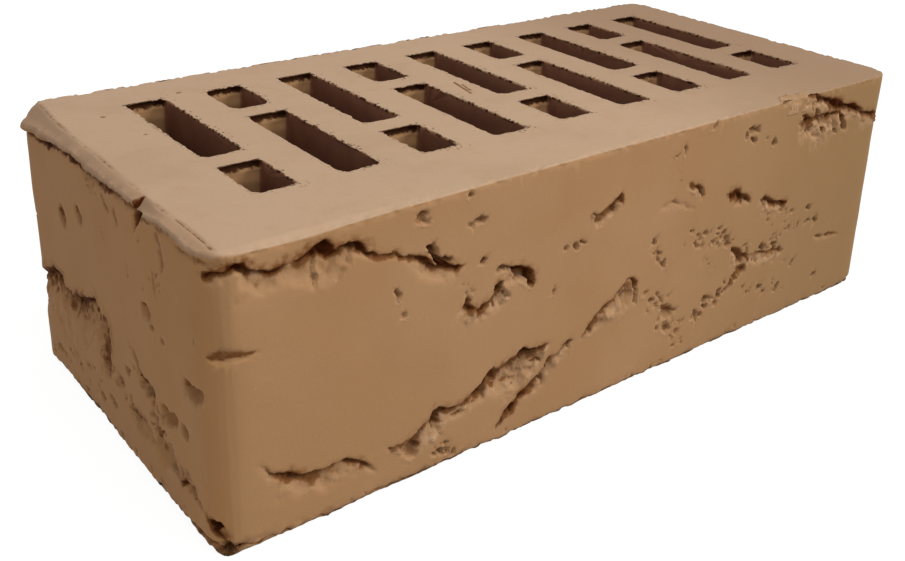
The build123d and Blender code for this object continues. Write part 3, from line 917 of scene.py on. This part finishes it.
    def wave_skin(self, gap):
        """Slow waves in the skin outside the slots, and where the beds' paler clay goes, which is partly
        painted sheen.
        """
        ids = np.nonzero(gap >= 0.6)[0]
        self.place[ids] -= self.normal[ids] * (0.06 * layers(self.start[ids], 18.0, WAVE_SEED, 2))[:, None]
        level = step(0.35, 0.65, np.abs(self.normal[:, 2]))
        self.bed = level * np.where(self.start[:, 2] > 1, 1, step(3.0, 6.0, self.near_side))

    def strew_crumbs(self):
        """Pale crumbs on the upper arris where the chips at the right begin."""
        front = -self.half_depth
        ids = np.nonzero((self.start[:, 1] < front + 7) & (self.start[:, 2] > self.height - 5))[0]
        x, y, _ = self.start[ids].T
        beside = np.exp(-((x + self.half_length - CRUMBS_ALONG) / CRUMBS_SPREAD) ** 2)
        beside *= step(-6.5, -2.0, front - y)
        patches = layers(self.start[ids], 2.4, CRUMB_SEED, 2) + 1.1 * beside
        crumbs = step(0.5, 0.9, patches) * step(0.15, 0.4, beside)
        self.torn[ids] = np.maximum(self.torn[ids], crumbs)
        self.shade_and_marks[ids] *= 1 - crumbs
        self.bed[ids] *= 1 - crumbs

    def rub_foot(self):
        """Lower arris rubbed away, most of all at the near corner."""
        ids = np.nonzero((self.start[:, 2] < 4) & (self.near_side < 6.5))[0]
        start, normal = self.start[ids], self.normal[ids]
        from_corner = np.hypot(start[:, 0] + self.half_length, start[:, 1] + self.half_depth)
        rub = 1.5 + step(70, 0, from_corner) + 1.6 * step(25, 0, from_corner)
        rub *= 1 + 0.35 * layers(start, 5.0, RUB_SEED, 2) + 0.3 * layers(start, 2.2, RUB_GRAIN_SEED, 2)
        lift = np.clip(1 - start[:, 2] / (1.6 * rub), 0, 1) ** 1.6
        for axis in (0, 1):
            outward = step(0.2, 0.8, np.abs(normal[:, axis])) * np.sign(normal[:, axis])
            self.place[ids, axis] -= rub * lift * outward
        bottom = step(0.3, 0.8, -normal[:, 2]) * step(2.4, 0.0, self.near_side[ids])
        self.place[ids, 2] += 0.5 * rub * bottom

    def mark_bed(self):
        """Fine marks on the upper bed."""
        for first, last, width, depth in BED_MARKS:
            way = np.subtract(last, first)
            rel = self.start[:, :2] - first
            ids = np.nonzero((self.start[:, 2] > self.height - 0.6) & (np.hypot(*rel.T) < MARK_REACH))[0]
            rel = rel[ids]
            share = np.clip(rel @ way / (way @ way), 0, 1)
            mark = np.exp(-(np.hypot(*(rel - share[:, None] * way).T) / width) ** 2)
            self.place[ids, 2] -= depth * mark
            self.darken(ids, 0.7 * mark)

    def spread_foot(self):
        """The wet block spread a little at its foot."""
        end = np.sign(self.start[:, 0]) * (np.abs(self.start[:, 0]) / self.half_length) ** 6
        up = self.start[:, 2] / self.height
        plain = END_SPREAD * np.clip(1 - 1.6 * up, -0.25, 1)
        self.place[:, 0] += end * np.where(end > 0, plain, HEADER_SPREAD * (1 - 2 * up))

    def store(self):
        """Writes the worked points, and what they show, to the mesh."""
        self.mesh.vertices.foreach_set("co", (self.place * MM).astype(np.float32).ravel())
        for name in LAYERS:
            layer = self.mesh.attributes.new(name, "FLOAT", "POINT")
            layer.data.foreach_set("value", getattr(self, name).astype(np.float32))
        self.mesh.update()


def sculpt(block, sizes):
    """Works the tears, the pressed lip, the ragged slot mouths and the worn edges into the block."""
    clay = Clay(block, sizes)
    clay.tear_face(1, STRETCHER_SEED, STRETCHER_LIPS, STRETCHER_GROOVES, STRETCHER_PITS, STRETCHER_BANDS)
    clay.tear_face(0, HEADER_SEED, HEADER_LIPS, (), HEADER_PITS, HEADER_BANDS)
    clay.sag_arris()
    clay.press_lip()
    gap, out = slot_gap(clay.start[:, :2], sizes)
    clay.open_mouths(gap, out)
    clay.wear_edges()
    clay.wave_skin(gap)
    clay.strew_crumbs()
    clay.rub_foot()
    clay.mark_bed()
    clay.spread_foot()
    clay.store()


def worked_points(mesh, sizes):
    """True at each point that the thinning leaves: torn clay and painted shade with two rings of points round
    them, and a row of points round each slot's wall under its mouth, so that the plain wall below shades
    evenly."""
    worked = np.zeros(len(mesh.vertices))
    for name in ("torn", "shade_and_marks"):
        values = np.empty(len(worked), np.float32)
        mesh.attributes[name].data.foreach_get("value", values)
        worked = np.maximum(worked, values)
    kept = worked > 0.1
    ends = np.empty(len(mesh.edges) * 2, np.int32)
    mesh.edges.foreach_get("vertices", ends)
    ends = ends.reshape(-1, 2)
    for _ in range(2):
        beside = kept[ends].any(axis=1)
        kept[ends[beside].ravel()] = True
    spots = read_vectors(mesh.vertices, "co") / MM
    gap, _ = slot_gap(spots[:, :2], sizes)
    deep = sizes.height / MM - spots[:, 2]
    row = (np.abs(gap) < 0.3) & (deep > ROW_FROM) & (deep < ROW_TO)
    return kept | row


def thin_out(block, sizes):
    """Brings the worked mesh down to its number of triangles, from its plain clay first."""
    plain = block.vertex_groups.new(name="plain")
    plain.add(np.nonzero(~worked_points(block.data, sizes))[0].tolist(), 1, "REPLACE")
    faces = sum(len(face.vertices) - 2 for face in block.data.polygons)
    if faces > sizes.triangles:
        apply_modifier(block, "DECIMATE", decimate_type="COLLAPSE", ratio=sizes.triangles / faces,
                       vertex_group=plain.name, vertex_group_factor=1)
    block.vertex_groups.clear()


def shade_clay(block, sizes):
    """Shades the clay smooth, apart from the slots' plain walls and the level beds."""
    take(block)
    bpy.ops.object.shade_smooth()
    mesh = block.data
    middles = read_vectors(mesh.polygons, "center") / MM
    gap, _ = slot_gap(middles[:, :2], sizes)
    plain_wall = (gap < 1) & (middles[:, 2] > 0.5) & (middles[:, 2] < sizes.height / MM - 4)
    level = np.abs(read_vectors(mesh.polygons, "normal")[:, 2]) > 0.995
    mesh.polygons.foreach_set("use_smooth", ~(plain_wall | level))
    mesh.update()


# Shader maths

class Value:
    """A shader socket in a sum: using it adds the Math nodes."""

    def __init__(self, maker, socket):
        self.maker, self.socket = maker, socket

    def maths(self, operation, *others):
        """This value and any others in a Math node."""
        return self.maker.maths(operation, self, *others)

    def __add__(self, other):
        return self.maker.maths("ADD", self, other)

    def __sub__(self, other):
        return self.maker.maths("SUBTRACT", self, other)

    def __rsub__(self, other):
        return self.maker.maths("SUBTRACT", other, self)

    def __mul__(self, other):
        return self.maker.maths("MULTIPLY", self, other)

    def between(self, low, high):
        """0 at low and 1 at high, smooth between; low may be the greater."""
        return self.maker.node(
            "ShaderNodeMapRange", {"interpolation_type": "SMOOTHSTEP"},
            {"Value": self, "From Min": low, "From Max": high})

    __radd__ = __add__
    __rmul__ = __mul__


class Nodes:
    """Adds shader nodes to one tree."""

    def __init__(self, tree):
        self.tree = tree
        tree.nodes.clear()

    def node(self, kind, settings=None, values=None, output=0):
        """A node with its settings, then its sockets' values or links; gives one of its outputs."""
        node = self.tree.nodes.new(kind)
        for name, value in (settings or {}).items():
            setattr(node, name, value)
        for key, value in (values or {}).items():
            socket = node.inputs[key]
            if isinstance(value, Value):
                self.tree.links.new(value.socket, socket)
            else:
                socket.default_value = value
        return Value(self, node.outputs[output]) if len(node.outputs) else node

    def maths(self, operation, *values):
        """A Math node on values or numbers."""
        return self.node("ShaderNodeMath", {"operation": operation}, dict(enumerate(values)))

    def mix(self, factor, first, second):
        """Mixes two colours; plain colours have three numbers."""
        first, second = (colour if isinstance(colour, Value) else (*colour, 1) for colour in (first, second))
        return self.node("ShaderNodeMix", {"data_type": "RGBA"}, {0: factor, 6: first, 7: second}, output=2)

    def noise(self, place, size, detail, rough):
        """Random values from 0 to 1 in clouds about a size wide, in metres."""
        return self.node("ShaderNodeTexNoise", None,
                         {"Vector": place, "Scale": 1 / size, "Detail": detail, "Roughness": rough})

    def grains(self, place, size):
        """Distance from the middles of grains about a size apart, in metres."""
        return self.node("ShaderNodeTexVoronoi", {"feature": "F1"}, {"Vector": place, "Scale": 1 / size})

    def layer(self, name):
        """A value that the sculpting left on the mesh."""
        return self.node("ShaderNodeAttribute", {"attribute_name": name}, output="Fac")


def slot_frame(x, y, sizes):
    """Distance from the nearest slot's wall, below zero inside the slot; how much nearer an end wall is than
    a side; and how far the place lies to the right of the slot's middle and behind it."""
    places, long_run, short_run = slot_places(sizes)
    first, last = places[0][0], places[-1][0]
    pitch = (last - first) / (sizes.columns - 1)
    front, rear = sizes.stretcher_wall - sizes.depth / 2, sizes.depth / 2 - sizes.rear_wall
    along = x - first
    column = (along * (1 / pitch)).maths("ROUND").maths("MAXIMUM", 0).maths("MINIMUM", sizes.columns - 1)
    front_half = (short_run + column.maths("FLOORED_MODULO", 2) * (long_run - short_run)) * 0.5
    rear_half = (long_run + short_run) / 2 - front_half
    from_front = y - (front + front_half)
    from_rear = y - (rear - rear_half)
    right = along - column * pitch
    to_side = right.maths("ABSOLUTE") - sizes.slot_width / 2
    to_front = from_front.maths("ABSOLUTE") - front_half
    to_rear = from_rear.maths("ABSOLUTE") - rear_half
    to_end = to_front.maths("MINIMUM", to_rear)
    behind = from_rear + to_front.maths("LESS_THAN", to_rear) * (from_front - from_rear)
    return to_side.maths("MAXIMUM", to_end), to_end - to_side, right, behind


# Fired clay

class Spot:
    """What mixes the clay's colours: where a place lies, what the sculpting left there, and random clouds."""

    def __init__(self, make, sizes):
        place = make.node("ShaderNodeTexCoord", output="Object")
        self.torn, self.shade_and_marks, self.bed, self.pressed = (make.layer(name) for name in LAYERS)
        self.x, y, self.z = (
            make.node("ShaderNodeSeparateXYZ", None, {0: place}, output=axis) for axis in range(3))
        self.deep = sizes.height - self.z
        self.gap, endward, self.right, behind = slot_frame(self.x, y, sizes)
        # painted light: this mask gives the end walls the lit slot colour and the long walls the shaded one
        end_wall = endward.between(-0.5 * MM, 0.5 * MM)
        self.end_wall = end_wall
        self.torn_end = end_wall * behind.between(0, MM)
        below_top = self.deep.between(0.3 * MM, 0.5 * MM)
        self.inner = self.gap.between(7 * MM, 6 * MM) * below_top * self.z.between(0.3 * MM, 0.5 * MM)
        self.clouds = make.noise(place, 34 * MM, 4, 0.6)
        self.mottle = make.noise(place, 7 * MM, 4, 0.6)
        self.grain = make.noise(place, 1.6 * MM, 4, 0.65)
        self.dust = make.noise(place, 0.55 * MM, 2, 0.6)
        self.specks = make.grains(place, 2.6 * MM)
        self.dots = make.grains(place, 1.5 * MM)


def skin_colour(make, spot, colours):
    """Fired skin, redder on the header and olive with painted shade toward the plain end, the paler beds with
    painted sheen and painted shade toward the plain end, and the lip.
    """
    skin = make.mix(spot.clouds.between(0.35, 0.68), colours.warm, colours.skin)
    # painted shade: the skin grows darker and more olive toward the plain end
    skin = make.mix(spot.x.between(0, 125 * MM) * 0.8, skin, colours.olive_end_shade)
    skin = make.mix(spot.x.between(-119 * MM, -124 * MM), skin, colours.ruddy)
    # painted shade: the beds darken toward the plain end
    bed = make.mix(spot.x.between(10 * MM, 105 * MM), colours.bed, colours.bed_end_shade_and_clouds)
    bed = make.mix(spot.clouds.between(0.45, 0.75) * 0.3, bed, colours.bed_end_shade_and_clouds)
    # the beds' pale colour is partly the wire-cut clay and partly a painted sheen
    skin = make.mix(spot.bed, skin, bed)
    skin = make.mix(spot.pressed, skin, colours.pressed)
    skin = make.mix(spot.mottle.between(0.5, 0.8) * 0.2, skin, colours.warm)
    # faint dark grain in the skin, from the same dark colour that paints shade in the cracks
    skin = make.mix(spot.grain.between(0.6, 0.8) * 0.08, skin, colours.crevice_shade_and_grain)
    pale = spot.specks.between(0.16, 0.06) * spot.dust.between(0.55, 0.65)
    return make.mix(pale * 0.3, skin, colours.crumb)


def slot_colour(make, spot, colours):
    """Clay of the slots' walls with painted light: the long walls in shade, the end walls lit, and painted
    shade deepening with depth.
    """
    walls = make.mix(spot.end_wall, colours.shaded_slot_side, colours.lit_slot_end)
    walls = make.mix(spot.mottle.between(0.3, 0.7) * 0.15, walls, colours.warm)
    return make.mix(spot.deep.between(2 * MM, 45 * MM) * 0.45, walls, colours.crevice_shade_and_grain)


def rubble_colour(make, spot, colours):
    """Rough torn clay with paler crumbs."""
    rubble = make.mix(spot.grain.between(0.48, 0.66) * 0.5, colours.torn, colours.crumb)
    return make.mix(spot.mottle.between(0.5, 0.3) * 0.6, rubble, colours.warm)


def crumbs_and_shade_share(spot):
    """How far a place takes the dark crumb colour: crumbs round the slots' rims, and painted shade on the
    ragged rear rims, in the torn band under the rear mouths' burr and along the foot.
    """
    near_top = spot.deep.between(0.9 * MM, 0.5 * MM)
    loose = spot.right.between(-4 * MM, 5 * MM) * 0.7 + 0.3
    crumbs = spot.gap.between(3.4 * MM, 0.6 * MM) * spot.deep.between(0.7 * MM, 0.4 * MM)
    crumbs = crumbs * spot.mottle.between(0.42, 0.56) * spot.dots.between(0.32, 0.2)
    hem = spot.gap.between(0.8 * MM, 0.3 * MM) * near_top * spot.grain.between(0.5, 0.58)
    # painted shade: a ragged dark edge along the rear rims, where the burr shades the wall
    ragged = spot.gap.between(1.3 * MM, 0.5 * MM) * near_top * spot.grain.between(0.42, 0.5)
    rim = (crumbs.maths("MAXIMUM", hem) * loose).maths("MAXIMUM", ragged * spot.torn_end)
    # painted shade in the torn band under the rear mouths' burr
    mouth_depth = spot.deep + (spot.grain - 0.5) * (2.4 * MM)
    mouth = spot.inner * spot.torn_end * mouth_depth.between(2.5 * MM, 1.8 * MM)
    # painted shade along the lower edge
    foot = (spot.z + (spot.grain - 0.5) * MM).between(1.8 * MM, 0.5 * MM) * 0.75
    return rim.maths("MAXIMUM", mouth.maths("MAXIMUM", foot)) * 0.95


def fired_clay(colours, sizes):
    """Satin fired skin, with rough torn clay, pale crumbs, painted glint highlights, and painted shade in the
    crevices, in the slots and along the foot.
    """
    material = bpy.data.materials.new("fired_clay")
    material.use_nodes = True
    make = Nodes(material.node_tree)
    spot = Spot(make, sizes)

    colour = make.mix(spot.inner, skin_colour(make, spot, colours), slot_colour(make, spot, colours))
    colour = make.mix(spot.torn * 0.85, colour, rubble_colour(make, spot, colours))
    # painted highlights: small glints on the torn clay
    painted_glints = spot.torn * spot.specks.between(0.14, 0.07) * spot.dust.between(0.5, 0.6)
    colour = make.mix(painted_glints * 0.7, colour, colours.painted_glint)
    # painted shade from the shade layer: brown beside the cracks and darkest in them
    shade_paint = spot.shade_and_marks + (spot.grain - 0.5) * 0.8 * spot.shade_and_marks.between(0.0, 0.3)
    colour = make.mix(shade_paint.between(0.08, 0.45) * 0.85, colour, colours.shade)
    colour = make.mix(shade_paint.between(0.45, 0.9) * 0.95, colour, colours.crevice_shade_and_grain)
    colour = make.mix(crumbs_and_shade_share(spot), colour, colours.crumbs_and_shade)

    rough = 0.5 + spot.mottle * 0.12 + spot.inner * 0.2 + spot.torn * 0.2
    fine = spot.grain * 0.2 + spot.dust * 0.15 + spot.torn * (spot.grain * 1.6 + spot.dust * 0.5)
    bump = make.node("ShaderNodeBump", None, {"Strength": 0.6, "Distance": 0.45 * MM, "Height": fine})
    shader = make.node("ShaderNodeBsdfPrincipled", None,
                       {"Base Color": colour, "Roughness": rough, "Normal": bump, "Specular IOR Level": 0.03})
    make.node("ShaderNodeOutputMaterial", None, {"Surface": shader})
    return material


# The studio

def seen_directly(make):
    """1 for what the camera sees, straight or in a reflection."""
    straight, glossy, through = (
        make.node("ShaderNodeLightPath", output=f"Is {ray} Ray")
        for ray in ("Camera", "Glossy", "Transmission"))
    return straight.maths("MAXIMUM", glossy.maths("MAXIMUM", through))


def white_paper():
    """Paper that looks white, takes the brick's shadow and throws little light back."""
    paper = bpy.data.materials.new("white_paper")
    paper.use_nodes = True
    make = Nodes(paper.node_tree)
    plain = make.node("ShaderNodeBsdfDiffuse", None, {"Color": (PAPER_GREY, PAPER_GREY, PAPER_GREY, 1)})
    shaded = make.node("ShaderNodeBsdfDiffuse", None, {"Color": (SHADOW_GREY, SHADOW_GREY, SHADOW_GREY, 1)})
    bright = make.node("ShaderNodeEmission", None, {"Color": (1, 1, 1, 1), "Strength": PAPER_GLOW})
    seen = make.node("ShaderNodeAddShader", None, {0: shaded, 1: bright})
    shader = make.node("ShaderNodeMixShader", None, {0: seen_directly(make), 1: plain, 2: seen})
    make.node("ShaderNodeOutputMaterial", None, {"Surface": shader})
    return paper


def studio_sky(strength):
    """Even light from all round, in front of a white ground."""
    world = bpy.data.worlds.new("studio_sky")
    world.use_nodes = True
    make = Nodes(world.node_tree)
    seen = seen_directly(make)
    light = seen + (1 - seen) * strength
    sky = make.node("ShaderNodeBackground", None, {"Color": (1, 1, 1, 1), "Strength": light})
    make.node("ShaderNodeOutputWorld", None, {"Surface": sky})
    return world


def area_lamp(name, place, size, power):
    """A square lamp that faces the brick."""
    deselect()
    bpy.ops.object.light_add(type="AREA", location=place)
    lamp = bpy.context.object
    lamp.name = name
    lamp.data.shape = "SQUARE"
    lamp.data.size = size
    lamp.data.energy = power
    lamp.rotation_euler = (Vector(LAMP_AIM) - Vector(place)).to_track_quat("-Z", "Y").to_euler()


def fitted_camera(scene, lens):
    """The camera that sees the brick's edges where they lie in the photograph."""
    camera = bpy.data.cameras.new("camera")
    camera.lens = lens
    camera.sensor_width = SENSOR_WIDTH
    camera.sensor_fit = "HORIZONTAL"
    camera.shift_x, camera.shift_y = CAMERA_SHIFT
    camera.clip_start = 10 * MM
    viewer = bpy.data.objects.new("camera", camera)
    scene.collection.objects.link(viewer)
    right, ahead = Vector(CAMERA_RIGHT).normalized(), Vector(CAMERA_AHEAD).normalized()
    turn = Matrix((right, right.cross(ahead).normalized(), -ahead)).transposed()
    viewer.matrix_world = Matrix.Translation(CAMERA_PLACE) @ turn.to_4x4()
    scene.camera = viewer


# Operators

class BRICK_OT_fired_brick(bpy.types.Operator):
    """Models the slotted, torn brick and gives it its clay"""
    bl_idname = "brick.fired_brick"
    bl_label = "Fired brick"
    bl_options = {"REGISTER", "UNDO"}

    def execute(self, context):
        sizes, colours = context.scene.brick_sizes, context.scene.brick_colours
        block = slotted_block(sizes)
        sculpt(block, sizes)
        thin_out(block, sizes)
        shade_clay(block, sizes)
        if len(block.data.polygons) < FEWEST_FACES:
            raise RuntimeError("the brick came out without its surface")
        block.data.materials.clear()
        block.data.materials.append(fired_clay(colours, sizes))
        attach(block, "root")
        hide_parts("brick")
        return {"FINISHED"}


class BRICK_OT_studio(bpy.types.Operator):
    """Sets a pale floor, soft light and the camera"""
    bl_idname = "brick.studio"
    bl_label = "Studio"
    bl_options = {"REGISTER", "UNDO"}

    def execute(self, context):
        scene = context.scene
        studio = scene.brick_studio
        deselect()
        bpy.ops.mesh.primitive_plane_add(size=FLOOR_SIZE, location=(0, 0, -FLOOR_DROP))
        floor = bpy.context.object
        floor.name = "pale_floor"
        floor.data.materials.append(white_paper())
        scene.world = studio_sky(studio.sky)
        area_lamp("key_lamp", KEY_PLACE, KEY_SIZE, studio.key)
        area_lamp("fill_lamp", FILL_PLACE, FILL_SIZE, studio.fill)
        fitted_camera(scene, studio.lens)
        scene.view_settings.view_transform = "Standard"
        return {"FINISHED"}


class BRICK_PT_panel(bpy.types.Panel):
    """Lists the brick's steps, sizes and colours"""
    bl_idname = "BRICK_PT_panel"
    bl_label = "Facing brick"
    bl_space_type = "VIEW_3D"
    bl_region_type = "UI"
    bl_category = "Brick"

    def draw(self, context):
        layout = self.layout
        for operator in (BRICK_OT_fired_brick, BRICK_OT_studio):
            layout.operator(operator.bl_idname)
        for title, group in (
            ("Sizes", context.scene.brick_sizes),
            ("Colours", context.scene.brick_colours),
            ("Studio", context.scene.brick_studio),
        ):
            box = layout.box()
            box.label(text=title)
            for name in group.__annotations__:
                box.prop(group, name)


CLASSES = (BrickSizes, BrickColours, BrickStudio, BRICK_OT_fired_brick, BRICK_OT_studio, BRICK_PT_panel)


def register():
    for cls in CLASSES:
        bpy.utils.register_class(cls)
    bpy.types.Scene.brick_sizes = bpy.props.PointerProperty(type=BrickSizes)
    bpy.types.Scene.brick_colours = bpy.props.PointerProperty(type=BrickColours)
    bpy.types.Scene.brick_studio = bpy.props.PointerProperty(type=BrickStudio)


def unregister():
    del bpy.types.Scene.brick_studio, bpy.types.Scene.brick_colours, bpy.types.Scene.brick_sizes
    for cls in reversed(CLASSES):
        bpy.utils.unregister_class(cls)


def main():
    register()
    bpy.ops.brick.fired_brick()
    bpy.ops.brick.studio()


if __name__ == "__main__":
    main()
